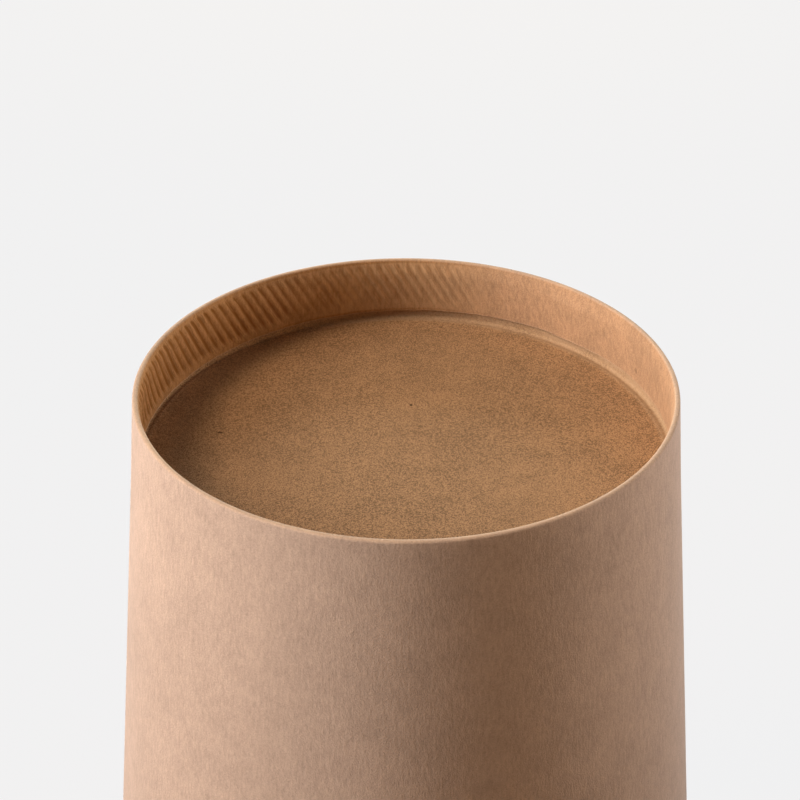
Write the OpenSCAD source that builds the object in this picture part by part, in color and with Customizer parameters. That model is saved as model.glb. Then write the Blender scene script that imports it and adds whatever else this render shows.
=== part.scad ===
// Kraft paper cup, standing on its rolled lip with the base on top.
// Two pieces of board: a side wall rolled into a cone and closed by a glued
// lap seam, and a pressed base disc whose skirt is held in the wall's foot
// fold. Millimetres, +Z from the mouth to the foot, origin at the centre of
// the mouth in the plane that the lip rests on.

/* [Cup] */
// Height from the lip's rest to the crest of the foot fold
cup_h = 89; // [80:1:120]
// Diameter across the rolled lip
mouth_d = 80; // [74:0.5:96]
// Diameter across the foot fold
foot_d = 56; // [50:0.5:64]

/* [Board] */
// Thickness of the side wall's board
wall_t = 0.3; // [0.24:0.01:0.4]
// Thickness of the base disc's board
disc_t = 0.3; // [0.24:0.01:0.4]

/* [Rolled lip] */
// Diameter of the roll
lip_d = 2.8; // [2.4:0.1:3.6]
// Width of the flat that is pressed on the roll's crest
lip_flat = 0.6; // [0.3:0.1:1]
// Gap between the roll's raw edge and the wall
lip_gap = 0.05; // [0.02:0.01:0.2]

/* [Foot] */
// Taper of the pressed foot band, in degrees from upright
band_taper = 5.7; // [3:0.1:7]
// How far the pressed foot band runs down past the base disc
band_past = 0.6; // [0.3:0.1:5]
// Width of the flat that is pressed on the fold's crest
foot_flat = 0.3; // [0.1:0.05:0.4]
// Depth from the crest over which the fold's two layers are pinched shut
pinch_h = 1.8; // [0.6:0.1:2]
// How far the flap's raw edge runs off true, above and below its average
flap_skew = 0.4; // [0.1:0.1:0.6]
// Direction in which the raw edge lies deepest
flap_low_at = 222; // [0:1:359]
// Gap between the raw edge, where it lies deepest, and the disc's bend
flap_gap = 0.15; // [0.05:0.05:0.6]

/* [Base disc] */
// Depth of the disc's face below the fold's crest
recess_h = 8.1; // [7.5:0.1:12]
// Inside radius of the bend between the disc and its skirt
bend_r = 0.35; // [0.2:0.05:0.6]
// Clearance between the skirt and the layers that hold it
skirt_gap = 0.02; // [0.01:0.01:0.06]

/* [Knurl] */
// Distance between grooves around the flap
knurl_pitch = 1.18; // [1:0.02:3]
// Lean of the grooves from upright
knurl_lean = 30; // [10:1:40]
// Depth of a groove
knurl_depth = 0.06; // [0.03:0.01:0.1]
// Width of a groove
knurl_w = 0.5; // [0.3:0.05:0.7]
// Plain border between the fold's crest and the knurl
knurl_above = 1.1; // [0.8:0.1:2]
// Plain border between the knurl and the raw edge's average
knurl_below = 1.2; // [0.8:0.1:2]

/* [Lap seam] */
// Direction of the outer raw edge of the seam
seam_at = 51.5; // [0:0.5:359]
// Width of the lap, measured at the foot
lap_w = 4.3; // [3:0.1:8]
// How far the doubled board of the lap is pressed together
lap_press = 0.05; // [0.02:0.01:0.1]
// Length over which the upper layer climbs onto the lap, at the foot
lap_ramp = 6; // [4:0.5:12]
// How far from the roll and from the pinched crest the lap is pressed level
lap_level = 0.5; // [0.2:0.1:2]

/* [Hidden] */
$fn = 180;
kraft = [0.76, 0.60, 0.44];
kraft_base = [0.66, 0.50, 0.35];

foot_r = foot_d / 2;
// Horizontal widths of the layers where the foot band slopes
wall_w = wall_t / cos(band_taper);
disc_w = disc_t / cos(band_taper);
gap_w = skirt_gap / cos(band_taper);

// Depth of the fold's centre, so that its pressed flat lies at full height
fold_h = sqrt(wall_w * wall_w - foot_flat * foot_flat / 4);
band_h = recess_h + disc_t + band_past;
flap_low = recess_h - bend_r - flap_gap;
flap_h = flap_low - flap_skew;

// Radii of the layers at a depth below the crest
function wall_out(s) = foot_r + (s - fold_h) * tan(band_taper);
function wall_in(s) = wall_out(s) - wall_w;
function skirt_out(s) = wall_in(s) - gap_w;
function skirt_in(s) = skirt_out(s) - disc_w;
function flap_out(s) = skirt_in(s) - gap_w;
function flap_in(s) = flap_out(s) - wall_w;
// Section point at a radius and a depth below the crest
function at(r, s) = [r, cup_h - s];
function dir(a) = [cos(a), sin(a)];

// Roll of the lip, standing so that its pressed flat lies in the plane z = 0
lip_r = lip_d / 2;
roll_r = lip_r - wall_t;
lip_c = [mouth_d / 2 - lip_r, sqrt(lip_r * lip_r - lip_flat * lip_flat / 4)];
// The wall runs from the foot band's end to the roll's inner circle and touches it
band_end = at(wall_out(band_h), band_h);
run = lip_c - band_end;
wall_taper = atan2(run.y, run.x) + acos(roll_r / norm(run));
outward = dir(wall_taper);
touch_out = lip_c - roll_r * outward;
touch_in = lip_c - lip_r * outward;
// Outside radius of the main wall at a height above the lip's rest
function main_out(z) = band_end.x + (band_end.y - z) * tan(wall_taper);
// Angle left open between the wall and the roll's raw edge
roll_open = acos((roll_r - lip_gap) / lip_r);

// Raw edge of the flap, a little off true
flap_tilt = atan(flap_skew / flap_in(flap_h));

// Knurl, worked out on the flap's face half way down the grooves
knurl_end = flap_h - knurl_below;
knurl_mid = (knurl_above + knurl_end) / 2;
knurl_r = flap_in(knurl_mid);
knurl_n = round(2 * PI * knurl_r / knurl_pitch);
knurl_len = (knurl_end - knurl_above) / cos(knurl_lean);
groove_r = (knurl_w * knurl_w / 4 + knurl_depth * knurl_depth) / (2 * knurl_depth);
// Half of the arc that one leaning groove takes
knurl_half = atan((knurl_len * sin(knurl_lean) / 2 + knurl_w) / knurl_r);

// Lap seam: the upper layer climbs because its centre is shifted sideways
lap_step = wall_t - lap_press;
lap_angle = lap_w / foot_r * 180 / PI;
ramp_angle = lap_ramp / foot_r * 180 / PI;
ramp_shift = lap_step / sin(ramp_angle);
lap_from = seam_at - lap_angle;
ramp_from = lap_from - ramp_angle;
// Angle by which the lap reaches back into the ramp, how far the ramp reaches
// into its neighbours, and depth of the lap's glued back
lap_tuck = 0.5;
ramp_tuck = 0.05;
glue_h = lap_press / 2;
// Height at which the lap starts above the roll, and depth at which it ends below the crest
lap_bottom = lip_d + lap_level;
lap_top = pinch_h + lap_level;

// Rise of the flap's face at a direction round the cup
function turn_from(a) = (a - ramp_from + 720) % 360;
function lap_rise(a) =
    turn_from(a) < ramp_angle ? ramp_shift * sin(turn_from(a)) :
    turn_from(a) < ramp_angle + lap_angle ? lap_step : 0;
// A groove is left out where it would run across the seam's raw edge
function clear_of_edge(a) = abs((a - seam_at + 540) % 360 - 180) > knurl_half;

// Top of the skirt, and the centre of its bend, which touches the disc's face and the skirt
skirt_top = pinch_h + skirt_gap;
bend_s = recess_h - bend_r;
bend_c = at(skirt_in(bend_s) - bend_r / cos(band_taper), bend_s);

// Triangle from a centre, which holds every angle between a0 and a1
module wedge(centre, side, a0, a1) {
    polygon([centre, centre + side * dir(a0), centre + side * dir(a1)]);
}

// Section of the rolled lip, open where its raw edge meets the wall
module roll_section() {
    open_to = 180 + wall_taper;
    difference() {
        translate(lip_c) circle(lip_r);
        translate(lip_c) circle(roll_r);
        wedge(lip_c, lip_d, open_to - roll_open, open_to);
        translate([lip_c.x - lip_r, -lip_d]) square(lip_d);
    }
}

// Section of the wall, from the roll to the centre of the fold
module wall_section() {
    polygon([
        touch_in,
        touch_out,
        band_end,
        at(foot_r, fold_h),
        at(foot_r - wall_w, fold_h),
        at(wall_in(band_h), band_h)
    ]);
}

// Section of the fold's crest, with its pressed flat
module crest_section() {
    intersection() {
        translate(at(foot_r - wall_w, fold_h)) circle(wall_w);
        translate(at(foot_r - 2 * wall_w, fold_h)) square([2 * wall_w, fold_h]);
    }
}

// Section of the flap turned in over the skirt, down to its lowest point
module flap_section() {
    polygon([
        at(foot_r - 2 * wall_w, fold_h),
        at(foot_r - wall_w, fold_h),
        at(flap_out(pinch_h), pinch_h),
        at(flap_out(flap_low), flap_low),
        at(flap_in(flap_low), flap_low),
        at(flap_in(pinch_h), pinch_h)
    ]);
}

// Upper layer of the lap on the wall, from just above the roll to just below
// the fold, with its back sunk into the layer that it is glued to
module wall_lap_section() {
    polygon([
        [main_out(lap_bottom) + lap_step, lap_bottom],
        band_end + [lap_step, 0],
        at(wall_out(lap_top) + lap_step, lap_top),
        at(wall_out(lap_top) - glue_h, lap_top),
        band_end - [glue_h, 0],
        [main_out(lap_bottom) - glue_h, lap_bottom]
    ]);
}

// Upper layer of the lap on the flap's face, which looks towards the axis
module flap_lap_section() {
    polygon([
        at(flap_in(lap_top) - lap_step, lap_top),
        at(flap_in(flap_low) - lap_step, flap_low),
        at(flap_in(flap_low) + glue_h, flap_low),
        at(flap_in(lap_top) + glue_h, lap_top)
    ]);
}

// The lap, which starts a little inside the end of the ramp
module over_lap() {
    rotate(lap_from - lap_tuck) rotate_extrude(angle = lap_angle + lap_tuck) children();
}

// Block round the stretch in which the upper layer climbs, wider by a tuck
module ramp_block(low, high, tuck) {
    rotate(ramp_from - tuck) rotate_extrude(angle = ramp_angle + 2 * tuck)
        translate([foot_r / 2, low - tuck]) square([mouth_d, high - low + 2 * tuck]);
}

// Closes a ring by the lap, from one height to another. Its children are the
// ring, the section of its layer, and the section of the upper layer where it
// lies on the lap. The shift moves the climbing layer's centre.
module lap_seam(low, high, shift) {
    difference() {
        children(0);
        ramp_block(low, high, 0);
    }
    intersection() {
        rotate(ramp_from) translate([0, shift, 0]) rotate_extrude() children(1);
        ramp_block(low, high, ramp_tuck);
    }
    over_lap() children(2);
}

// One groove of the knurl, at a direction round the cup
module groove(a) {
    rotate(a)
        translate([knurl_r - lap_rise(a) - groove_r + knurl_depth, 0, cup_h - knurl_mid])
            rotate([0, -band_taper, 0]) rotate([-knurl_lean, 0, 0])
                cylinder(h = knurl_len, r = groove_r, center = true, $fn = 48);
}

// The flap with its lap, trimmed to its raw edge and knurled
module flap() {
    deep = 2 * foot_d;
    difference() {
        lap_seam(cup_h - flap_low, cup_h - lap_top, -ramp_shift) {
            rotate_extrude() flap_section();
            flap_section();
            flap_lap_section();
        }
        // Everything below the raw edge's tilted plane
        translate([0, 0, cup_h - flap_h])
            rotate(flap_low_at) rotate([0, flap_tilt, 0]) translate([-deep / 2, -deep / 2, -deep])
                cube(deep);
        for (i = [0 : knurl_n - 1])
            if (clear_of_edge(360 * i / knurl_n)) groove(360 * i / knurl_n);
    }
}

module side_wall() {
    color(kraft) {
        lap_seam(lap_bottom, cup_h - lap_top, ramp_shift) {
            rotate_extrude() {
                roll_section();
                wall_section();
                crest_section();
            }
            wall_section();
            wall_lap_section();
        }
        flap();
    }
}

module base_disc() {
    color(kraft_base)
        rotate_extrude() {
            // The flat disc, let into its bend
            polygon([
                at(0, recess_h),
                at(0, recess_h + disc_t),
                at(bend_c.x, recess_h + disc_t),
                bend_c + (bend_r + disc_t / 2) * dir(-75),
                at(bend_c.x, recess_h)
            ]);
            intersection() {
                difference() {
                    translate(bend_c) circle(bend_r + disc_t);
                    translate(bend_c) circle(bend_r);
                }
                wedge(bend_c, 3 * (bend_r + disc_t), -90, band_taper);
            }
            // Its skirt, which ends just short of the pinched fold
            polygon([
                bend_c + bend_r * dir(band_taper),
                bend_c + (bend_r + disc_t / 2) * dir(band_taper - 15),
                bend_c + (bend_r + disc_t) * dir(band_taper),
                at(skirt_out(skirt_top), skirt_top),
                at(skirt_in(skirt_top), skirt_top)
            ]);
        }
}

side_wall();
base_disc();
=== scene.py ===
"""Kraft paper cup, mouth down: finishes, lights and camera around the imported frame."""

import logging
import math
from dataclasses import dataclass, field
from enum import Enum
from typing import Any, Optional, Union

import bpy
import numpy as np
from mathutils import Matrix, Vector


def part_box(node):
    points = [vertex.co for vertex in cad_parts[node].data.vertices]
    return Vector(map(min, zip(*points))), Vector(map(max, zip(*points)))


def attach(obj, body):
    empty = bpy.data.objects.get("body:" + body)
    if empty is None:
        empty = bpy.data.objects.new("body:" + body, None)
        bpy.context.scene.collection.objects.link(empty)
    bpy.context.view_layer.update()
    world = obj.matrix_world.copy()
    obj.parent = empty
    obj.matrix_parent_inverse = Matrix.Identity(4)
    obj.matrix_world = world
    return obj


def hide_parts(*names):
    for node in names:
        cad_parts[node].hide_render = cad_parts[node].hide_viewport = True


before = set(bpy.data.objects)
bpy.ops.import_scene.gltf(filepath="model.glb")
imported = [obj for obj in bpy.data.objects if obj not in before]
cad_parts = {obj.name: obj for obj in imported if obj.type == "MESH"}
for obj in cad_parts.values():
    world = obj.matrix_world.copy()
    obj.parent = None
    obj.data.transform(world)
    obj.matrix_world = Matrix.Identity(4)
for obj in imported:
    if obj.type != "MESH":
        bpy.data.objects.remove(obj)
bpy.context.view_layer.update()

MM = 0.001
ROOT = "root"
WALL_NODE = "side_wall"
DISC_NODE = "base_disc"
RAW_EDGE = "raw_edge"
WEAR_AND_HIGHLIGHT = "worn"
KNURL = "knurl"
PRESSED_AND_SHADED = "pressed"

Number = Union[float, np.ndarray]
Colour = tuple[float, float, float]
log = logging.getLogger("paper_cup")


def ease(t: Number) -> Number:
    """Smooth step from 0 to 1.

    Args:
        t: Position along the step; values outside 0 to 1 are held at the ends.

    Returns:
        The eased value.
    """
    t = np.clip(t, 0.0, 1.0)
    return t * t * (3.0 - 2.0 * t)


def turn_between(azimuth: Number, start: float) -> Number:
    """Angle from start round to azimuth, from 0 to a full turn."""
    return np.mod(azimuth - start, 2.0 * math.pi)


def turn_apart(azimuth: Number, other: float) -> Number:
    """Smallest angle between azimuth and other."""
    return np.abs(np.mod(azimuth - other + math.pi, 2.0 * math.pi) - math.pi)


class Grain(Enum):
    """How the board's fibres lie on a piece, as stretches along X, Y and Z."""

    UPRIGHT = (1.0, 1.0, 0.24)
    LEVEL = (1.0, 0.72, 1.0)


@dataclass
class Signal:
    """A node socket that takes part in Python arithmetic.

    Each operator adds one Math node to the socket's tree.
    """

    bench: "Bench"
    socket: Any

    def __add__(self, other: "Term") -> "Signal":
        """Sum."""
        return self.bench.math("ADD", self, other)

    def __sub__(self, other: "Term") -> "Signal":
        """Difference."""
        return self.bench.math("SUBTRACT", self, other)

    def __mul__(self, other: "Term") -> "Signal":
        """Product."""
        return self.bench.math("MULTIPLY", self, other)

    def __truediv__(self, other: "Term") -> "Signal":
        """Quotient."""
        return self.bench.math("DIVIDE", self, other)

    def __pow__(self, other: "Term") -> "Signal":
        """Power."""
        return self.bench.math("POWER", self, other)

    def __radd__(self, other: "Term") -> "Signal":
        """Sum, reflected."""
        return self.bench.math("ADD", other, self)

    def __rsub__(self, other: "Term") -> "Signal":
        """Difference, reflected."""
        return self.bench.math("SUBTRACT", other, self)

    def __rmul__(self, other: "Term") -> "Signal":
        """Product, reflected."""
        return self.bench.math("MULTIPLY", other, self)

    def __gt__(self, other: "Term") -> "Signal":
        """1 where this is greater, otherwise 0."""
        return self.bench.math("GREATER_THAN", self, other)

    def ramp(self, low: float, high: float) -> "Signal":
        """0 at low, 1 at high, smooth between and held outside.

        Args:
            low: Value that gives 0.
            high: Value that gives 1.

        Returns:
            The eased signal.
        """
        settings = {"interpolation_type": "SMOOTHSTEP"}
        return self.bench.node("ShaderNodeMapRange", settings, {0: self, 1: low, 2: high})


Term = Union[Signal, float]


class Bench:
    """Makes and links the nodes of one tree.

    Args:
        tree: The node tree that the nodes go into.
    """

    def __init__(self, tree: bpy.types.NodeTree) -> None:
        self.tree = tree

    def node(
        self,
        kind: str,
        settings: Optional[dict[str, Any]] = None,
        inputs: Optional[dict[Union[int, str], Any]] = None,
        output: Union[int, str] = 0,
    ) -> Signal:
        """Adds one node.

        Args:
            kind: The node's type.
            settings: The node's own properties, which are set before its sockets.
            inputs: What each input takes, by index or name: a Signal or a value.
            output: The output that the result stands for, by index or name.

        Returns:
            The chosen output.
        """
        made = self.tree.nodes.new(kind)
        for key, value in (settings or {}).items():
            setattr(made, key, value)
        for key, value in (inputs or {}).items():
            if isinstance(value, Signal):
                self.tree.links.new(value.socket, made.inputs[key])
            else:
                made.inputs[key].default_value = value
        has_output = len(made.outputs) > 0
        return Signal(self, made.outputs[output] if has_output else made)

    def other(self, signal: Signal, output: Union[int, str]) -> Signal:
        """Another output of the node that a signal comes from."""
        return Signal(self, signal.socket.node.outputs[output])

    def math(self, operation: str, a: Term, b: Term = 0.0) -> Signal:
        """One Math node, with its operation and its two values."""
        return self.node("ShaderNodeMath", {"operation": operation}, {0: a, 1: b})

    def vector(self, operation: str, a: Any, b: Any) -> Signal:
        """One Vector Math node, with its operation and its two vectors."""
        return self.node("ShaderNodeVectorMath", {"operation": operation}, {0: a, 1: b})

    def mix(self, factor: Term, a: Any, b: Any) -> Signal:
        """A colour between a, at factor 0, and b, at factor 1.

        Args:
            factor: The share of b.
            a: A Signal or a colour of four numbers.
            b: A Signal or a colour of four numbers.

        Returns:
            The mixed colour.
        """
        settings = {"data_type": "RGBA", "clamp_factor": True}
        return self.node("ShaderNodeMix", settings, {0: factor, 6: a, 7: b}, 2)


def seen_directly(bench: Bench) -> Signal:
    """Tells the rays that show a background from those that light the cup.

    Args:
        bench: The nodes of a material or of the world.

    Returns:
        1 for rays from the camera, off glossy surfaces and through clear ones,
        otherwise 0.
    """
    camera = bench.node("ShaderNodeLightPath", None, None, "Is Camera Ray")
    glossy = bench.other(camera, "Is Glossy Ray")
    through = bench.other(camera, "Is Transmission Ray")
    return bench.math("MAXIMUM", camera, bench.math("MAXIMUM", glossy, through))


@dataclass(frozen=True)
class Mark:
    """A small dark mark on the board: its middle, its half sizes and how dark it is."""

    middle: tuple[float, float, float]
    half: tuple[float, float, float]
    strength: float = 0.85


WALL_MARKS = (Mark((25.45 * MM, 10.6 * MM, 83.8 * MM), (0.3 * MM, 0.3 * MM, 0.4 * MM), 0.35),)
DISC_MARKS = (
    Mark((0.55 * MM, 7.9 * MM, 80.9 * MM), (0.18 * MM, 0.24 * MM, 0.3 * MM), 1.0),
    Mark((-19.9 * MM, 2.2 * MM, 80.9 * MM), (0.32 * MM, 0.18 * MM, 0.3 * MM), 1.0),
    Mark((4.2 * MM, 25.65 * MM, 80.9 * MM), (0.20 * MM, 0.16 * MM, 0.3 * MM)),
)


@dataclass(frozen=True)
class GroovePattern:
    """Where the knurl's leaning grooves lie on the flap."""

    count: int = 147
    lean: float = math.radians(30.0)
    radius: float = 27.4 * MM

    @property
    def slant(self) -> float:
        """Angle that a groove turns round the cup for each metre of height."""
        return math.tan(self.lean) / self.radius


@dataclass(frozen=True)
class Fibres:
    """The board's uneven look at four sizes, from coarse to fine, each about zero."""

    cloud: Signal
    mottle: Signal
    fleck: Signal
    dust: Signal


@dataclass(frozen=True)
class KraftFinish:
    """Uncoated brown kraft board.

    The spread says how far the pale and the dark end lie from the colour. The
    shares say how far each effect moves it towards one of them, and the heights
    how far each effect raises the surface, in parts of the relief.
    """

    name: str
    grain: Grain
    colour: Colour
    spread: float = 0.24
    cloud_share: float = 0.5
    mottle_share: float = 0.6
    fleck_share: float = 1.1
    dust_share: float = 1.3
    speck_share: float = 0.5
    # Painted shade: the flap inside the recess is coloured darker and deeper than the wall, though it
    # is the same board.
    flap_shade_colour: Colour = (0.37, 0.183, 0.072)
    # Painted shade in the knurl's grooves and on the heavily knurled flap.
    groove_shade_colour: Colour = (0.22, 0.085, 0.02)
    cut_colour: Colour = (0.62, 0.44, 0.30)
    wear_and_highlight_colour: Colour = (0.60, 0.375, 0.205)
    speck_colour: Colour = (0.10, 0.05, 0.025)
    cloud_size: float = 14.0 * MM
    mottle_size: float = 3.2 * MM
    fleck_size: float = 0.30 * MM
    dust_size: float = 0.16 * MM
    speck_cell: float = 4.5 * MM
    speck_size: float = 0.13 * MM
    speck_strength: float = 0.8
    finer_layers: float = 0.6
    fleck_height: float = 1.6
    dust_height: float = 1.8
    mottle_height: float = 0.6
    stroke_height: float = 1.5
    relief: float = 0.02 * MM
    relief_strength: float = 0.85
    roughness: float = 0.5
    pressed_roughness: float = 0.9
    specular: float = 0.1
    grooves: GroovePattern = GroovePattern()
    groove_shade_share: float = 0.85
    groove_narrowness: float = 3.0
    groove_least: float = 0.5
    heavy_knurl_shade_share: float = 0.35
    pressed_grain: float = 1.8
    stroke_width: float = 0.17 * MM
    stroke_length: float = 1.5 * MM
    stroke_patch: float = 5.0 * MM
    stroke_share: float = 3.6
    stroke_in_groove: float = 1.6
    wear_and_highlight_least: float = 0.6
    cut_least: float = 0.8
    mark_core: float = 0.6
    mark_rim: float = 1.2
    marks: tuple[Mark, ...] = ()

    @property
    def roughening(self) -> float:
        """How much rougher a pressed or worn place is than the plain board."""
        return self.pressed_roughness - self.roughness

    def tone(self, colour: Colour, share: float) -> tuple[float, float, float, float]:
        """Makes a colour paler or darker.

        Args:
            colour: Red, green and blue.
            share: The share of the spread: 1 for the pale end, -1 for the dark one.

        Returns:
            The colour, with an alpha of 1.
        """
        scale = 1.0 + share * self.spread
        red, green, blue = (min(1.0, part * scale) for part in colour)
        return (red, green, blue, 1.0)

    def noise(self, bench: Bench, where: Signal, size: float, detail: float) -> Signal:
        """Noise about zero, from -0.5 to 0.5.

        Args:
            bench: The material's nodes.
            where: Coordinates in metres.
            size: Size of the noise's features in metres.
            detail: Number of finer layers.

        Returns:
            The noise.
        """
        inputs = {"Vector": where, "Scale": 1.0 / size, "Detail": detail}
        inputs["Roughness"] = self.finer_layers
        return bench.node("ShaderNodeTexNoise", None, inputs) - 0.5

    def specks(self, bench: Bench, where: Signal) -> Signal:
        """The few dark specks of bark in the board.

        Args:
            bench: The material's nodes.
            where: Coordinates in metres.

        Returns:
            1 inside a speck, otherwise 0.
        """
        inputs = {"Vector": where, "Scale": 1.0 / self.speck_cell, "Randomness": 1.0}
        near = bench.node("ShaderNodeTexVoronoi", None, inputs, "Distance")
        pick = bench.node("ShaderNodeSeparateColor", None, {0: bench.other(near, "Color")})
        reach = self.speck_size / self.speck_cell
        inside = 1.0 - near.ramp(reach * 0.5, reach)
        return inside * (pick > 1.0 - self.speck_share * 0.5)

    def knurled(self, bench: Bench, where: Signal) -> tuple[Signal, Signal]:
        """The pattern that the knurling tool leaves on the flap.

        Args:
            bench: The material's nodes.
            where: Coordinates in metres.

        Returns:
            The grooves, from 0 between them to 1 along their middles, and the
            fine scuffs that lean with them, from -0.5 (dark) to 0.5 (pale).
        """
        x_part = bench.node("ShaderNodeSeparateXYZ", None, {0: where}, "X")
        y_part, z_part = bench.other(x_part, "Y"), bench.other(x_part, "Z")
        azimuth = bench.math("ARCTAN2", y_part, x_part)
        leaning = azimuth - z_part * self.grooves.slant
        wave = bench.math("COSINE", leaning * float(self.grooves.count)) * 0.5 + 0.5
        across = leaning * (self.grooves.radius / self.stroke_width)
        inputs = {"X": across, "Y": z_part / self.stroke_length, "Z": 0.0}
        place = bench.node("ShaderNodeCombineXYZ", None, inputs)
        inputs = {"Vector": place, "Scale": 1.0, "Detail": 1.0, "Roughness": 0.5}
        fine = bench.node("ShaderNodeTexNoise", {"noise_dimensions": "2D"}, inputs) - 0.5
        patch = self.noise(bench, where, self.stroke_patch, 1.0) + 0.5
        firm = patch.ramp(0.3, 0.7) * (1.0 - self.groove_least)
        firm = self.groove_least + firm + fine * self.stroke_in_groove
        return wave**self.groove_narrowness * firm, fine * patch.ramp(0.35, 0.65)

    def marked(self, bench: Bench, where: Signal, colour: Signal) -> Signal:
        """Puts the finish's single dark marks on the board.

        Args:
            bench: The material's nodes.
            where: Coordinates in metres.
            colour: The colour without the marks.

        Returns:
            The colour with the marks.
        """
        for mark in self.marks:
            offset = bench.vector("SUBTRACT", where, mark.middle)
            offset = bench.vector("DIVIDE", offset, mark.half)
            away = bench.node("ShaderNodeVectorMath", {"operation": "LENGTH"}, {0: offset}, "Value")
            inside = 1.0 - away.ramp(self.mark_core, self.mark_rim)
            colour = bench.mix(inside * mark.strength, colour, (*self.speck_colour, 1.0))
        return colour

    def fibres(self, bench: Bench, where: Signal) -> Fibres:
        """The board's unevenness, whose flecks lie along the grain.

        Args:
            bench: The material's nodes.
            where: Coordinates in metres.

        Returns:
            The four sizes of unevenness.
        """
        along = bench.vector("MULTIPLY", where, self.grain.value)
        return Fibres(
            cloud=self.noise(bench, where, self.cloud_size, 2.0),
            mottle=self.noise(bench, where, self.mottle_size, 3.0),
            fleck=self.noise(bench, along, self.fleck_size, 3.0),
            dust=self.noise(bench, where, self.dust_size, 2.0),
        )

    def mark(self, bench: Bench, name: str) -> Signal:
        """One of the piece's named point attributes."""
        return bench.node("ShaderNodeAttribute", {"attribute_name": name}, None, "Fac")

    def toned(self, bench: Bench, colour: Colour, shade: Signal) -> Signal:
        """A colour between its dark end, at shade -0.5, and its pale end, at shade 0.5."""
        dark, pale = (self.tone(colour, side) for side in (-1.0, 1.0))
        return bench.mix(shade + 0.5, dark, pale)

    def build(self) -> bpy.types.Material:
        """Builds the material.

        Returns:
            The material, with its colour, roughness and bump from its nodes.
        """
        material = bpy.data.materials.new(self.name)
        material.use_nodes = True
        material.node_tree.nodes.clear()
        bench = Bench(material.node_tree)
        where = bench.node("ShaderNodeTexCoord", None, None, "Object")
        fibres = self.fibres(bench, where)
        shade = fibres.cloud * self.cloud_share + fibres.mottle * self.mottle_share
        shade = shade + fibres.fleck * self.fleck_share + fibres.dust * self.dust_share
        # The pressed mark paints shade over the flap and the inner half of the crest, and also makes
        # them rougher.
        pressed, knurl = self.mark(bench, PRESSED_AND_SHADED), self.mark(bench, KNURL)
        raw, worn = self.mark(bench, RAW_EDGE), self.mark(bench, WEAR_AND_HIGHLIGHT)
        grooves, strokes = self.knurled(bench, where)
        grooves, strokes = grooves * knurl, strokes * bench.math("SQRT", knurl)
        scuffs = shade * self.pressed_grain + strokes * self.stroke_share
        # Painted shade: the grooves are darkened, and so is the flap where the knurl is pressed past
        # its usual firmness, on the side the key light misses.
        heavy_knurl_shade = bench.math("MAXIMUM", knurl - 1.0, 0.0) * self.heavy_knurl_shade_share
        depth = grooves * self.groove_shade_share + heavy_knurl_shade
        shaded_flap = self.toned(bench, self.flap_shade_colour, scuffs)
        shaded_flap = bench.mix(depth, shaded_flap, (*self.groove_shade_colour, 1.0))
        colour = bench.mix(pressed, self.toned(bench, self.colour, shade), shaded_flap)
        # Paler from the wear mark: real wear on the crest, and a painted highlight on the back of the
        # flap and on the disc's bend.
        wear_and_highlight_amount = fibres.mottle + fibres.fleck + self.wear_and_highlight_least
        colour = bench.mix(worn * wear_and_highlight_amount, colour, (*self.wear_and_highlight_colour, 1.0))
        colour = bench.mix(raw * (self.cut_least + fibres.fleck), colour, (*self.cut_colour, 1.0))
        specks = self.specks(bench, where) * self.speck_strength
        colour = bench.mix(specks, colour, (*self.speck_colour, 1.0))
        height = fibres.fleck * self.fleck_height + fibres.dust * self.dust_height
        height = height + fibres.mottle * self.mottle_height + strokes * self.stroke_height
        inputs = {"Strength": self.relief_strength, "Distance": self.relief, "Height": height}
        normal = bench.node("ShaderNodeBump", None, inputs)
        inputs = {
            "Base Color": self.marked(bench, where, colour),
            "Roughness": self.roughness + bench.math("MAXIMUM", pressed, worn) * self.roughening,
            "Specular IOR Level": self.specular,
            "Normal": normal,
        }
        shader = bench.node("ShaderNodeBsdfPrincipled", None, inputs)
        bench.node("ShaderNodeOutputMaterial", None, {"Surface": shader})
        return material


def wall_board() -> KraftFinish:
    """The wall's pale board, with its fibres upright."""
    return KraftFinish("kraft_wall", Grain.UPRIGHT, (0.494, 0.341, 0.258), marks=WALL_MARKS)


def disc_board() -> KraftFinish:
    """The disc's darker, rougher board, with its fibres level."""
    return KraftFinish(
        "kraft_base",
        Grain.LEVEL,
        (0.347, 0.194, 0.094),
        spread=0.42,
        cloud_share=0.6,
        mottle_share=0.7,
        fleck_share=1.5,
        dust_share=4.4,
        dust_size=0.13 * MM,
        # Paler colour of the painted highlight on the bend.
        wear_and_highlight_colour=(0.41, 0.262, 0.15),
        roughness=0.8,
        specular=0.17,
        marks=DISC_MARKS,
    )


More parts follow.
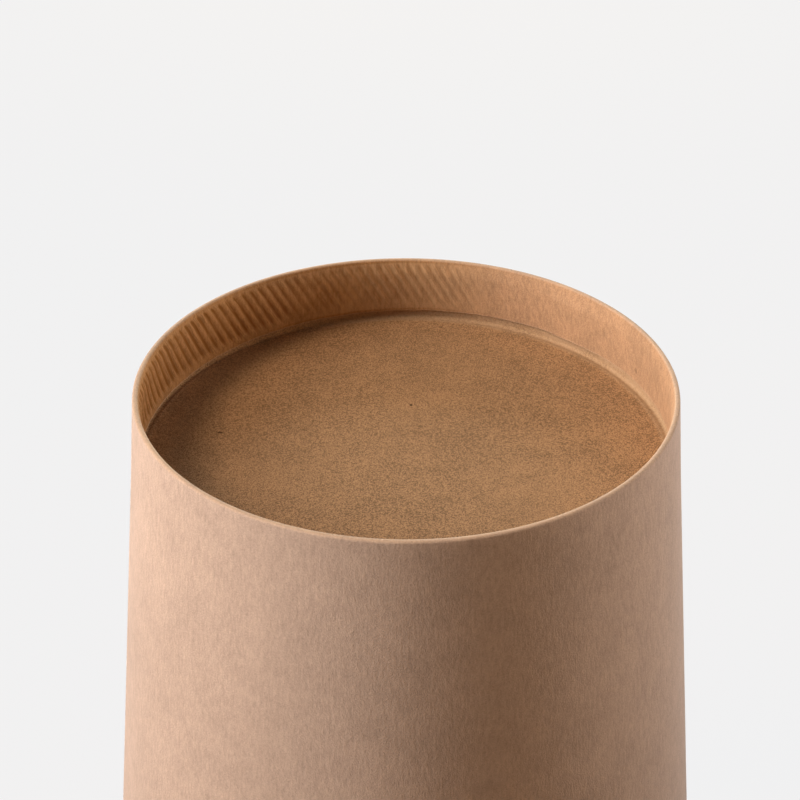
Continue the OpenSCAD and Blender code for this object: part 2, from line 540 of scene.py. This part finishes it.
@dataclass(frozen=True)
class Foot:
    """The pressed foot band: where each layer of board lies at a depth below the crest."""

    top: float
    radius: float = 28.0 * MM
    taper: float = math.radians(5.7)
    board: float = 0.3 * MM
    clearance: float = 0.02 * MM
    flat: float = 0.3 * MM
    pinch: float = 1.8 * MM
    band: float = 9.0 * MM
    recess: float = 8.1 * MM
    bend: float = 0.35 * MM

    @property
    def layer(self) -> float:
        """Horizontal width of one layer of board."""
        return self.board / math.cos(self.taper)

    @property
    def gap(self) -> float:
        """Horizontal width of one clearance."""
        return self.clearance / math.cos(self.taper)

    @property
    def fold(self) -> float:
        """Depth of the fold's centre below the flat on its crest."""
        return math.sqrt(self.layer**2 - self.flat**2 / 4.0)

    def wall_out(self, depth: Number) -> Number:
        """Radius of the wall's outside."""
        return self.radius + (depth - self.fold) * math.tan(self.taper)

    def wall_in(self, depth: Number) -> Number:
        """Radius of the wall's inside."""
        return self.wall_out(depth) - self.layer

    def skirt_out(self, depth: Number) -> Number:
        """Radius of the disc skirt's outside."""
        return self.wall_in(depth) - self.gap

    def skirt_in(self, depth: Number) -> Number:
        """Radius of the disc skirt's inside."""
        return self.skirt_out(depth) - self.layer

    def flap_out(self, depth: Number) -> Number:
        """Radius of the flap's back, which faces the skirt."""
        return self.skirt_in(depth) - self.gap

    def flap_in(self, depth: Number) -> Number:
        """Radius of the flap's face, which looks towards the axis."""
        return self.flap_out(depth) - self.layer


@dataclass
class TurnedShell:
    """A closed shell made of rings of points, each with its own radius and height.

    The rings go up the outside first, so that the faces point outwards.
    """

    azimuths: np.ndarray
    radii: list[np.ndarray] = field(default_factory=list)
    heights: list[np.ndarray] = field(default_factory=list)
    marks: dict[str, list[np.ndarray]] = field(
        default_factory=lambda: {RAW_EDGE: [], WEAR_AND_HIGHLIGHT: [], KNURL: [], PRESSED_AND_SHADED: []}
    )

    def ring(self, radius: Number, height: Number, **marks: Number) -> None:
        """Adds one ring.

        Args:
            radius: Radius, one number or one for each azimuth.
            height: Height, one number or one for each azimuth.
            **marks: Values of the named point attributes, 0 where left out.
        """
        flat = np.zeros_like(self.azimuths)
        self.radii.append(flat + radius)
        self.heights.append(flat + height)
        for name, values in self.marks.items():
            values.append(flat + marks.get(name, 0.0))

    def points(self) -> np.ndarray:
        """Turns the rings into points.

        Returns:
            All points, ring after ring.
        """
        radius = np.array(self.radii)
        height = np.array(self.heights)
        ring_x = radius * np.cos(self.azimuths)
        ring_y = radius * np.sin(self.azimuths)
        return np.stack([ring_x, ring_y, height], axis=-1).reshape(-1, 3)

    def build(self, name: str, has_poles: bool, sharp: float) -> bpy.types.Object:
        """Makes the mesh and its object.

        Args:
            name: Name of the piece.
            has_poles: True where the first and last rings close on the axis,
                False where the last ring joins the first.
            sharp: Angle between faces, in radians, past which an edge stays sharp.

        Returns:
            The object, which stands at the origin.
        """
        rows, columns = len(self.radii), len(self.azimuths)
        points = self.points().tolist()
        faces = []
        last = rows - 1 if has_poles else rows
        for row in range(last):
            low, high = row * columns, (row + 1) % rows * columns
            for here in range(columns):
                there = (here + 1) % columns
                faces.append((low + here, low + there, high + there, high + here))
        if has_poles:
            for end in (0, -1):
                points.append((0.0, 0.0, float(self.heights[end][0])))
            first_pole, last_pole = rows * columns, rows * columns + 1
            base = (rows - 1) * columns
            for here in range(columns):
                there = (here + 1) % columns
                faces.append((first_pole, there, here))
                faces.append((last_pole, base + here, base + there))
        mesh = bpy.data.meshes.new(name)
        mesh.from_pydata(points, [], faces)
        for mark, values in self.marks.items():
            layer = mesh.attributes.new(mark, "FLOAT", "POINT")
            levels = np.zeros(len(points), np.float32)
            levels[: rows * columns] = np.array(values, np.float32).ravel()
            layer.data.foreach_set("value", levels)
        mesh.shade_smooth()
        mesh.set_sharp_from_angle(angle=sharp)
        piece = bpy.data.objects.new(name, mesh)
        bpy.context.scene.collection.objects.link(piece)
        return piece


@dataclass(frozen=True)
class Knurl:
    """Leaning grooves rolled into the flap, made by a Geometry Nodes tree.

    Each groove's depth is a share of the full depth: the least share, a share
    that changes from groove to groove and one that changes in patches.
    """

    grooves: GroovePattern = GroovePattern()
    depth: float = 0.13 * MM
    narrowness: float = 1.5
    least_share: float = 0.35
    uneven_share: float = 0.45
    uneven_pace: float = 0.83
    patch_share: float = 0.35
    patch_size: float = 5.0 * MM

    def build_tree(self) -> bpy.types.NodeTree:
        """Builds the tree that presses the grooves into the marked points.

        Returns:
            The tree, whose inputs are the geometry, the grooves' count, slant
            and full depth, and the finish.
        """
        tree = bpy.data.node_groups.new("knurl", "GeometryNodeTree")
        for label, kind in (
            ("Geometry", "NodeSocketGeometry"),
            ("Grooves", "NodeSocketFloat"),
            ("Slant", "NodeSocketFloat"),
            ("Depth", "NodeSocketFloat"),
            ("Finish", "NodeSocketMaterial"),
        ):
            tree.interface.new_socket(label, in_out="INPUT", socket_type=kind)
        tree.interface.new_socket("Geometry", in_out="OUTPUT", socket_type="NodeSocketGeometry")
        bench = Bench(tree)
        shape = bench.node("NodeGroupInput", None, None, "Geometry")
        grooves, slant = bench.other(shape, "Grooves"), bench.other(shape, "Slant")
        depth, finish = bench.other(shape, "Depth"), bench.other(shape, "Finish")
        place = bench.node("GeometryNodeInputPosition")
        x_part = bench.node("ShaderNodeSeparateXYZ", None, {0: place}, "X")
        y_part, z_part = bench.other(x_part, "Y"), bench.other(x_part, "Z")
        azimuth = bench.math("ARCTAN2", y_part, x_part)
        turns = grooves * (azimuth - z_part * slant) / (2.0 * math.pi)
        wave = bench.math("COSINE", turns * (2.0 * math.pi)) * 0.5 + 0.5
        settings = {"noise_dimensions": "1D"}
        inputs = {"W": turns * self.uneven_pace, "Scale": 1.0, "Detail": 1.0}
        uneven = bench.node("ShaderNodeTexNoise", settings, inputs)
        inputs = {"Vector": place, "Scale": 1.0 / self.patch_size, "Detail": 2.0}
        patchy = bench.node("ShaderNodeTexNoise", None, inputs)
        strength = self.least_share + uneven.ramp(0.28, 0.68) * self.uneven_share
        strength = strength + patchy.ramp(0.3, 0.7) * self.patch_share
        settings = {"data_type": "FLOAT"}
        mark = bench.node("GeometryNodeInputNamedAttribute", settings, {"Name": KNURL}, "Attribute")
        amount = wave**self.narrowness * strength * mark * depth
        outward = bench.node("ShaderNodeCombineXYZ", None, {"X": x_part, "Y": y_part, "Z": 0.0})
        outward = bench.node("ShaderNodeVectorMath", {"operation": "NORMALIZE"}, {0: outward})
        settings = {"operation": "SCALE"}
        shift = bench.node("ShaderNodeVectorMath", settings, {0: outward, "Scale": amount})
        shape = bench.node("GeometryNodeSetPosition", None, {"Geometry": shape, "Offset": shift})
        shape = bench.node("GeometryNodeRealizeInstances", None, {"Geometry": shape})
        shape = bench.node("GeometryNodeSetMaterial", None, {"Geometry": shape, "Material": finish})
        bench.node("NodeGroupOutput", None, {"Geometry": shape})
        return tree

    def press(self, piece: bpy.types.Object, finish: bpy.types.Material) -> None:
        """Presses the grooves into a piece and leaves it a plain mesh.

        Args:
            piece: The object whose marked points take the grooves.
            finish: The material that the whole piece gets.
        """
        tree = self.build_tree()
        modifier = piece.modifiers.new("knurl", "NODES")
        modifier.node_group = tree
        values = {
            "Grooves": float(self.grooves.count),
            "Slant": self.grooves.slant,
            "Depth": self.depth,
            "Finish": finish,
        }
        for item in tree.interface.items_tree:
            if item.in_out == "INPUT" and item.name in values:
                modifier[item.identifier] = values[item.name]
        graph = bpy.context.evaluated_depsgraph_get()
        pressed = bpy.data.meshes.new_from_object(piece.evaluated_get(graph))
        plain = piece.data
        piece.modifiers.remove(modifier)
        piece.data = pressed
        pressed.name = piece.name
        bpy.data.meshes.remove(plain)


@dataclass
class SideWall:
    """The rolled sheet: lip, cone, foot fold and flap in one shell of board.

    Azimuths are angles round the cup, from +X. The knurl is pressed lightly near
    light_at, where the flap's painted shade is also weaker, and heavily near heavy_at,
    where the flap is darkened further as painted shade. Near flap_highlight_at the flap carries
    a painted highlight.
    """

    foot: Foot
    mouth_radius: float
    knurl: Knurl = Knurl()
    columns_each: int = 6
    lip_radius: float = 1.4 * MM
    lip_flat: float = 0.6 * MM
    lip_gap: float = 0.05 * MM
    seam_at: float = math.radians(51.5)
    lap: float = math.radians(8.8)
    ramp: float = math.radians(12.3)
    step: float = 0.25 * MM
    edge_depth: float = 7.41 * MM
    edge_swing: float = 0.67 * MM
    edge_low_at: float = math.radians(222.0)
    edge_lowest: float = 7.7 * MM
    sliver: float = math.radians(0.02)
    light_at: float = math.radians(15.0)
    light_reach: float = 0.2
    light_drop: float = 0.75
    pressed_shading_drop: float = 0.28
    heavy_at: float = math.radians(168.0)
    heavy_reach: float = 0.4
    heavy_gain: float = 0.7
    flap_highlight_at: float = math.radians(98.0)
    flap_highlight_reach: float = 0.8
    flap_highlight: float = 2.0
    crest_wear: float = 0.6
    crest_turns: tuple[int, ...] = (0, 22, 44, 62, 90, 118, 136, 158, 180)
    flap_rows: int = 27
    band_rows: tuple[float, ...] = (6.0 * MM, 4.2 * MM, 3.0 * MM, 2.1 * MM, 1.4 * MM, 0.8 * MM)
    inner_band_rows: tuple[float, ...] = (1.0 * MM, 4.5 * MM, 8.0 * MM)
    low_rows: tuple[float, ...] = (2.2 * MM, 3.2 * MM, 4.6 * MM)
    inner_low_rows: tuple[float, ...] = (4.5 * MM, 2.8 * MM)
    azimuths: np.ndarray = field(init=False)
    pressed_shading: np.ndarray = field(init=False)
    face_rise: np.ndarray = field(init=False)
    back_rise: np.ndarray = field(init=False)
    lip_centre: np.ndarray = field(init=False)
    band_end: np.ndarray = field(init=False)
    outward: np.ndarray = field(init=False)
    taper: float = field(init=False)

    def __post_init__(self) -> None:
        """Works out the columns, the lip's circle and the line of the main wall."""
        even = np.arange(self.knurl.grooves.count * self.columns_each)
        even = even * (2.0 * math.pi / len(even))
        lap_from = self.seam_at - self.lap
        sides = (-self.sliver, self.sliver)
        ends = [place + side for place in (self.seam_at, lap_from) for side in sides]
        self.azimuths = np.sort(np.concatenate([even, ends]))
        # How strongly the flap takes its painted shade, weaker near light_at.
        self.pressed_shading = 1.0 - self.pressed_shading_drop * self.near(self.light_at, self.light_reach)
        climb = turn_between(self.azimuths, lap_from - self.ramp)
        rise = ease(climb / self.ramp)
        self.face_rise = self.step * np.where(climb < self.ramp + self.lap, rise, 0.0)
        self.back_rise = self.step * np.where(climb < self.ramp, rise, 0.0)
        foot = self.foot
        drop = math.sqrt(self.lip_radius**2 - self.lip_flat**2 / 4.0)
        self.lip_centre = np.array([self.mouth_radius - self.lip_radius, drop])
        self.band_end = np.array([foot.wall_out(foot.band), foot.top - foot.band])
        run = self.lip_centre - self.band_end
        inner = self.lip_radius - foot.board
        self.taper = math.atan2(run[1], run[0]) + math.acos(inner / np.hypot(*run))
        self.outward = np.array([math.cos(self.taper), math.sin(self.taper)])

    def raw_edge_depth(self) -> np.ndarray:
        """The slightly ragged line of the flap's raw edge.

        Returns:
            Its depth below the crest, round the cup.
        """
        swing = self.edge_swing * np.cos(self.azimuths - self.edge_low_at)
        ragged = np.sin(self.azimuths * 31.0) * np.sin(self.azimuths * 7.0 + 1.0)
        ragged = 0.03 * MM * (ragged + 0.6 * np.sin(self.azimuths * 83.0 + 0.4))
        return np.minimum(self.edge_depth + swing, self.edge_lowest) + ragged

    def lap_fade(self, depth: Number, height: Number) -> Number:
        """How fully the lap stands proud, less near the fold and the lip.

        Args:
            depth: Depth below the crest.
            height: Height above the lip's rest.

        Returns:
            A share from 0 to 1.
        """
        near_fold = ease((depth - self.foot.fold) / (2.6 * MM))
        near_lip = ease((height - 1.5 * MM) / (3.0 * MM))
        return near_fold * near_lip

    def wall_point(self, height: float, outside: bool) -> float:
        """Radius of the wall at a height.

        Args:
            height: Height above the lip's rest.
            outside: True for the outside, False for the inside.

        Returns:
            The radius.
        """
        depth = self.foot.top - height
        if depth <= self.foot.band:
            return self.foot.wall_out(depth) if outside else self.foot.wall_in(depth)
        radius = self.band_end[0] + (self.band_end[1] - height) * math.tan(self.taper)
        return radius if outside else radius - self.foot.board / math.cos(self.taper)

    def add_outside(self, shell: TurnedShell) -> None:
        """Rings of the outside, from the lip up to the fold.

        Args:
            shell: The shell that takes the rings.
        """
        touch = self.lip_centre - (self.lip_radius - self.foot.board) * self.outward
        low = [touch[1], *self.low_rows]
        main = list(np.linspace(10.0 * MM, self.band_end[1], 8))
        band = [self.foot.top - depth for depth in self.band_rows]
        for height in low + main + band:
            depth = self.foot.top - height
            rise = self.face_rise * self.lap_fade(depth, height)
            shell.ring(self.wall_point(height, True) + rise, height, raw_edge=self.face_edge())

    def face_edge(self) -> np.ndarray:
        """Marks the column on the seam's outer raw edge."""
        return (turn_apart(self.azimuths, self.seam_at) < 1.5 * self.sliver) * 1.0

    def add_crest(self, shell: TurnedShell) -> None:
        """Rings of the fold's crest, from the outside over to the flap.

        Args:
            shell: The shell that takes the rings.
        """
        foot = self.foot
        for turn in np.radians(self.crest_turns):
            radius = foot.radius - foot.layer + foot.layer * math.cos(turn)
            height = foot.top - foot.fold + foot.layer * math.sin(turn)
            inner = float(ease((turn - math.pi / 2.0) / (math.pi / 2.0)))
            # The crest's top is paler with wear; its inner half takes the flap's painted shade.
            worn, pressed = self.crest_wear * math.sin(turn), inner * self.pressed_shading
            shell.ring(radius, min(height, foot.top), worn=worn, pressed=pressed)

    def add_flap_face(self, shell: TurnedShell) -> None:
        """Rings of the flap's face, from the crest down to its raw edge.

        Args:
            shell: The shell that takes the rings.
        """
        foot = self.foot
        edge = self.raw_edge_depth()
        apart = turn_apart(self.azimuths, self.seam_at)
        calm = ease((apart - math.radians(0.6)) / math.radians(1.5))
        for row in range(1, self.flap_rows):
            share = row / self.flap_rows
            depth = foot.fold + (edge - 0.25 * MM - foot.fold) * share
            pinch = np.clip((depth - foot.fold) / (foot.pinch - foot.fold), 0.0, 1.0)
            closed = foot.radius - 2.0 * foot.layer
            radius = closed + (foot.flap_in(depth) - closed) * pinch
            rise = self.face_rise * ease((depth - 0.6 * MM) / (1.6 * MM))
            top_fade = ease((depth - 0.4 * MM) / (0.6 * MM))
            low_fade = ease((edge - 0.4 * MM - depth) / (1.6 * MM))
            # Flap rings take painted shade all round and a painted highlight near the back.
            shell.ring(
                radius - rise,
                foot.top - depth,
                raw_edge=self.face_edge() * 0.5 * ease((depth - 1.5 * MM) / (1.5 * MM)),
                knurl=top_fade * low_fade * calm * self.firmness(),
                pressed=self.pressed_shading,
                worn=self.flap_highlight * self.near(self.flap_highlight_at, self.flap_highlight_reach),
            )
        self.add_flap_edge(shell, edge)

    def near(self, place: float, reach: float) -> np.ndarray:
        """1 near an azimuth and 0 where the cosine of the angle from it is under reach."""
        return ease((np.cos(self.azimuths - place) - reach) / 0.5)

    def firmness(self) -> np.ndarray:
        """How firmly the knurl is pressed.

        Returns:
            1 for the usual pressing, round the cup.
        """
        light = self.near(self.light_at, self.light_reach)
        heavy = self.near(self.heavy_at, self.heavy_reach)
        return 1.0 - self.light_drop * light + self.heavy_gain * heavy

    def add_flap_edge(self, shell: TurnedShell, edge: np.ndarray) -> None:
        """Rings of the flap's raw edge and of its back, up to the pinched fold.

        Args:
            shell: The shell that takes the rings.
            edge: Depth of the raw edge, round the cup.
        """
        foot = self.foot
        bevel = 0.05 * MM
        fuzz = 0.20 * MM
        face = foot.flap_in(edge) - self.face_rise
        back = foot.flap_out(edge)
        # The cut edge is pale all round; on the side away from the seam it is paler still, partly as a
        # painted highlight where the edge catches the light.
        pale_edge_and_highlight = 0.25 + 0.75 * ease((0.2 - np.cos(self.azimuths - self.seam_at)) / 0.8)
        shell.ring(face, foot.top - edge + fuzz, pressed=self.pressed_shading)
        shell.ring(face, foot.top - edge + bevel, raw_edge=pale_edge_and_highlight, pressed=self.pressed_shading)
        shell.ring(face + bevel, foot.top - edge, raw_edge=1.0)
        shell.ring(back - bevel, foot.top - edge, raw_edge=1.0)
        shell.ring(back, foot.top - edge + bevel, raw_edge=0.4)
        for depth in (4.0 * MM, foot.pinch):
            shell.ring(foot.flap_out(depth), foot.top - depth)
        shell.ring(foot.radius - foot.layer, foot.top - foot.fold)

    def add_inside(self, shell: TurnedShell) -> None:
        """Rings of the inside, from the pinched fold down to the lip.

        Args:
            shell: The shell that takes the rings.
        """
        foot = self.foot
        touch = self.lip_centre - self.lip_radius * self.outward
        band = [foot.top - depth for depth in self.inner_band_rows]
        main = list(np.linspace(self.band_end[1], 8.0 * MM, 7))
        low = [*self.inner_low_rows, touch[1]]
        apart = turn_apart(self.azimuths, self.seam_at - self.lap)
        edge = (apart < 1.5 * self.sliver) * 1.0
        for height in band + main + low:
            depth = foot.top - height
            past_disc = ease((depth - foot.recess - 0.8 * MM) / (2.0 * MM))
            rise = self.back_rise * self.lap_fade(depth, height) * past_disc
            shell.ring(self.wall_point(height, False) + rise, height, raw_edge=edge)

    def add_lip(self, shell: TurnedShell) -> None:
        """Rings of the rolled lip: round its outside, over its raw edge and back inside.

        Args:
            shell: The shell that takes the rings.
        """
        inner = self.lip_radius - self.foot.board
        opening = math.acos((inner - self.lip_gap) / self.lip_radius)
        start, stop = math.pi + self.taper, 3.0 * math.pi + self.taper - opening
        outside = np.linspace(start, stop, 21)[1:]
        inside = np.linspace(stop, start, 10)[:-1]
        inner_rest = self.foot.board * 0.7
        for turns, radius, lowest in ((outside, self.lip_radius, 0.0), (inside, inner, inner_rest)):
            for turn in turns:
                point = self.lip_centre + radius * np.array([math.cos(turn), math.sin(turn)])
                shell.ring(point[0], max(point[1], lowest), raw_edge=float(turn == stop))

    def build(self, finish: bpy.types.Material) -> bpy.types.Object:
        """Builds the sheet and presses its knurl.

        Args:
            finish: The board's material.

        Returns:
            The finished piece.
        """
        shell = TurnedShell(self.azimuths)
        self.add_outside(shell)
        self.add_crest(shell)
        self.add_flap_face(shell)
        self.add_inside(shell)
        self.add_lip(shell)
        piece = shell.build("rolled_sheet", False, math.radians(42.0))
        self.knurl.press(piece, finish)
        return piece


@dataclass
class BaseDisc:
    """The pressed disc: its flat, its bend and its skirt.

    The creases are azimuths in degrees; the bend and the edge of the flat carry a painted highlight on
    the side that highlight_toward points to.
    """

    foot: Foot
    columns: int = 720
    skirt_top: float = 1.82 * MM
    bead_height: float = 0.035 * MM
    bead_width: float = 0.42 * MM
    highlight_toward: float = math.radians(38.0)
    creases: tuple[float, ...] = (
        42.8, 35.4, 15.7, 3.0, 64.0, 71.5, 98.0, 131.0, 172.0, 214.0, 263.0, 301.0, 333.0
    )
    crease_depth: float = 0.08 * MM
    crease_width: float = math.radians(0.45)

    def wrinkle(self, azimuths: np.ndarray) -> np.ndarray:
        """The small creases that cross the disc's bend.

        Args:
            azimuths: The disc's columns.

        Returns:
            The creases' depth, less than 0 where they stand out.
        """
        total = np.zeros_like(azimuths)
        for number, place in enumerate(self.creases):
            apart = turn_apart(azimuths, math.radians(place)) / self.crease_width
            side = 1.0 if number % 2 else -0.7
            total += side * self.crease_depth * np.exp(-apart * apart)
        return total

    def build(self, finish: bpy.types.Material) -> bpy.types.Object:
        """Builds the disc.

        Args:
            finish: The board's material.

        Returns:
            The finished piece.
        """
        foot = self.foot
        azimuths = np.arange(self.columns) * (2.0 * math.pi / self.columns)
        shell = TurnedShell(azimuths)
        face = foot.top - foot.recess
        bend_depth = foot.recess - foot.bend
        centre_r = foot.skirt_in(bend_depth) - foot.bend / math.cos(foot.taper)
        centre_z = face + foot.bend
        turns = np.linspace(-math.pi / 2.0, foot.taper, 9)
        under = face - foot.board
        crease = self.wrinkle(azimuths)
        # Painted highlight on the bend, the foot of the skirt and the edge of the flat, strongest where
        # the key light reaches and gone on the shaded side.
        worn = ease((np.cos(azimuths - self.highlight_toward) + 0.1) / 0.8)
        for radius in np.linspace(2.0 * MM, centre_r, 12):
            shell.ring(radius, under)
        outer = foot.bend + foot.board
        for turn in turns[1:]:
            shell.ring(centre_r + outer * math.cos(turn), centre_z + outer * math.sin(turn))
        top = self.skirt_top
        for depth in (5.0 * MM, 2.5 * MM, top):
            shell.ring(foot.skirt_out(depth), foot.top - depth, raw_edge=float(depth == top))
        for depth in (top, 2.5 * MM, 5.0 * MM, 6.2 * MM, 7.0 * MM):
            fold = crease * ease((depth - 5.0 * MM) / (2.0 * MM))
            shell.ring(foot.skirt_in(depth) - fold, foot.top - depth, worn=worn * (depth > 6.0 * MM))
        for turn in turns[::-1]:
            radius = centre_r + foot.bend * math.cos(turn) - crease * max(0.0, math.cos(turn))
            shell.ring(radius, centre_z + foot.bend * math.sin(turn) + crease * 0.3, worn=worn)
        bead_end = centre_r - 2.4 * self.bead_width
        for radius in np.linspace(centre_r, bead_end, 9)[1:]:
            across = (centre_r - radius) / self.bead_width
            bead = self.bead_height * math.sin(min(across, 1.6) / 1.6 * math.pi) ** 2
            fade = 1.0 - float(ease((across - 0.6) / 1.3))
            shell.ring(radius, face + bead + crease * 0.3 * math.exp(-across), worn=worn * fade)
        for radius in np.linspace(bead_end, 2.0 * MM, 22)[1:]:
            bow = 0.04 * MM * np.sin(azimuths * 3.0 + 0.6) * ease(radius / centre_r)
            shell.ring(radius, face + bow * math.sin(radius / bead_end * math.pi))
        piece = shell.build("pressed_disc", True, math.radians(42.0))
        piece.data.materials.append(finish)
        return piece


@dataclass(frozen=True)
class Lamp:
    """A soft lamp: its direction in degrees, size in metres, power in watts and colour.

    The spread is the beam's full angle in degrees; the beam points at a place
    that lies aim_above metres over the foot.
    """

    name: str
    azimuth: float
    elevation: float
    width: float
    height: float
    power: float
    colour: Colour
    spread: float = 180.0
    aim_above: float = 0.0

    def direction(self) -> Vector:
        """Where the lamp stands, seen from the cup.

        Returns:
            The unit vector from the cup towards the lamp.
        """
        azimuth, elevation = math.radians(self.azimuth), math.radians(self.elevation)
        level = math.cos(elevation)
        return Vector((math.cos(azimuth) * level, math.sin(azimuth) * level, math.sin(elevation)))


@dataclass(frozen=True)
class Studio:
    """Floor, lights and camera.

    The camera's distance is given in fold radii and its angles in radians.
    """

    foot: Foot
    fold_radius: float = 27.7 * MM
    camera_distance: float = 5.75
    elevation: float = 0.540126
    pitch: float = -0.0124425
    yaw: float = -0.00389892
    roll: float = 0.00308212
    focal_pixels: float = 1542.7
    picture_pixels: float = 800.0
    sensor: float = 36.0
    lamp_distance: float = 0.5
    room_glow: float = 0.888
    floor_half: float = 3.0
    floor_glow: Colour = (0.903, 0.906, 0.914)
    floor_share: float = 0.04
    floor_colour: Colour = (0.44, 0.21, 0.03)
    lamps: tuple[Lamp, ...] = (
        Lamp("key", 193.0, 22.0, 0.27, 0.34, 0.567, (0.944, 0.977, 1.0), 56.0, 60.0 * MM),
        Lamp("top", 195.0, 50.0, 0.20, 0.20, 0.165, (1.0, 0.80, 0.62), 50.0, 60.0 * MM),
        Lamp("right", 15.0, 12.0, 0.30, 0.20, 0.178, (0.80, 0.91, 1.0), 40.0, 60.0 * MM),
        Lamp("front_right", 345.0, 15.0, 0.20, 0.20, 0.070, (1.0, 0.72, 0.45), 40.0, 60.0 * MM),
        Lamp("back", 90.0, 12.0, 0.30, 0.20, 2.45, (0.82, 1.0, 1.0)),
    )

    def focus(self) -> Vector:
        """Middle of the foot fold, which the camera and the lights point at."""
        return Vector((0.0, 0.0, self.foot.top - self.foot.fold))

    def add_camera(self) -> None:
        """Adds the camera at the photograph's viewing angle."""
        data = bpy.data.cameras.new("camera")
        data.sensor_width = self.sensor
        data.lens = self.focal_pixels / self.picture_pixels * self.sensor
        data.clip_start = 0.01
        camera = bpy.data.objects.new("camera", data)
        bpy.context.scene.collection.objects.link(camera)
        back = self.camera_distance * self.fold_radius
        place = self.focus() + back * Vector((0.0, -math.cos(self.elevation), math.sin(self.elevation)))
        forward = Vector((0.0, math.cos(self.elevation), -math.sin(self.elevation)))
        right = Vector((1.0, 0.0, 0.0))
        upward = right.cross(forward)
        forward, upward = (
            forward * math.cos(self.pitch) + upward * math.sin(self.pitch),
            upward * math.cos(self.pitch) - forward * math.sin(self.pitch),
        )
        forward, right = (
            forward * math.cos(self.yaw) + right * math.sin(self.yaw),
            right * math.cos(self.yaw) - forward * math.sin(self.yaw),
        )
        right, upward = (
            right * math.cos(self.roll) + upward * math.sin(self.roll),
            upward * math.cos(self.roll) - right * math.sin(self.roll),
        )
        turned = Matrix((right, upward, -forward)).transposed()
        camera.matrix_world = Matrix.Translation(place) @ turned.to_4x4()
        bpy.context.scene.camera = camera

    def add_lamp(self, lamp: Lamp) -> None:
        """Adds one soft lamp that points at the foot or above it.

        Args:
            lamp: Where the lamp stands, its size, power, colour and beam.
        """
        data = bpy.data.lights.new(lamp.name, "AREA")
        data.shape = "RECTANGLE"
        data.size = lamp.width
        data.size_y = lamp.height
        data.energy = lamp.power
        data.color = lamp.colour
        data.spread = math.radians(lamp.spread)
        made = bpy.data.objects.new(lamp.name, data)
        away = lamp.direction() * self.lamp_distance
        made.location = self.focus() + away
        backward = away - Vector((0.0, 0.0, lamp.aim_above))
        made.rotation_euler = backward.to_track_quat("Z", "Y").to_euler()
        bpy.context.scene.collection.objects.link(made)

    def add_world(self) -> None:
        """Adds the room past the floor, a pale background that gives no light."""
        world = bpy.data.worlds.new("room")
        world.use_nodes = True
        world.node_tree.nodes.clear()
        bench = Bench(world.node_tree)
        inputs = {"Color": (1.0, 1.0, 1.0, 1.0), "Strength": seen_directly(bench) * self.room_glow}
        glow = bench.node("ShaderNodeBackground", None, inputs)
        bench.node("ShaderNodeOutputWorld", None, {"Surface": glow})
        bpy.context.scene.world = world

    def add_floor(self) -> None:
        """Adds the pale floor under the cup, which also keeps a share of its own shading."""
        half = self.floor_half
        mesh = bpy.data.meshes.new("floor")
        corners = [(-half, -half, 0.0), (half, -half, 0.0), (half, half, 0.0), (-half, half, 0.0)]
        mesh.from_pydata(corners, [], [(0, 1, 2, 3)])
        floor = bpy.data.objects.new("floor", mesh)
        bpy.context.scene.collection.objects.link(floor)
        material = bpy.data.materials.new("pale_floor")
        material.use_nodes = True
        material.node_tree.nodes.clear()
        bench = Bench(material.node_tree)
        matt = bench.node("ShaderNodeBsdfDiffuse", None, {"Color": (*self.floor_colour, 1.0)})
        inputs = {"Color": (*self.floor_glow, 1.0), "Strength": 1.0}
        glow = bench.node("ShaderNodeEmission", None, inputs)
        glowing = seen_directly(bench) * (1.0 - self.floor_share)
        blend = bench.node("ShaderNodeMixShader", None, {0: glowing, 1: matt, 2: glow})
        bench.node("ShaderNodeOutputMaterial", None, {"Surface": blend})
        mesh.materials.append(material)

    def build(self) -> None:
        """Builds the whole studio."""
        self.add_camera()
        for lamp in self.lamps:
            self.add_lamp(lamp)
        self.add_world()
        self.add_floor()


def seat(piece: bpy.types.Object, node: str) -> None:
    """Lets a piece stand for a node of the frame.

    Args:
        piece: The finished piece.
        node: The node that the piece stands for.
    """
    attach(piece, ROOT)
    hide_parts(node)
    triangles = sum(len(face.vertices) - 2 for face in piece.data.polygons)
    log.info("%s stands for %s with %d triangles", piece.name, node, triangles)


def write_sizes() -> None:
    """Brings the scene's placements up to date."""
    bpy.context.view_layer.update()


def main() -> None:
    """Builds the cup's two pieces and the studio round them."""
    logging.basicConfig(level=logging.INFO, format="%(name)s: %(message)s")
    bpy.context.scene.view_settings.view_transform = "Standard"
    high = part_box(WALL_NODE)[1]
    foot = Foot(top=high.z)
    wall = SideWall(foot, mouth_radius=high.x).build(wall_board().build())
    seat(wall, WALL_NODE)
    seat(BaseDisc(foot).build(disc_board().build()), DISC_NODE)
    Studio(foot).build()
    write_sizes()


if __name__ == "__main__":
    main()
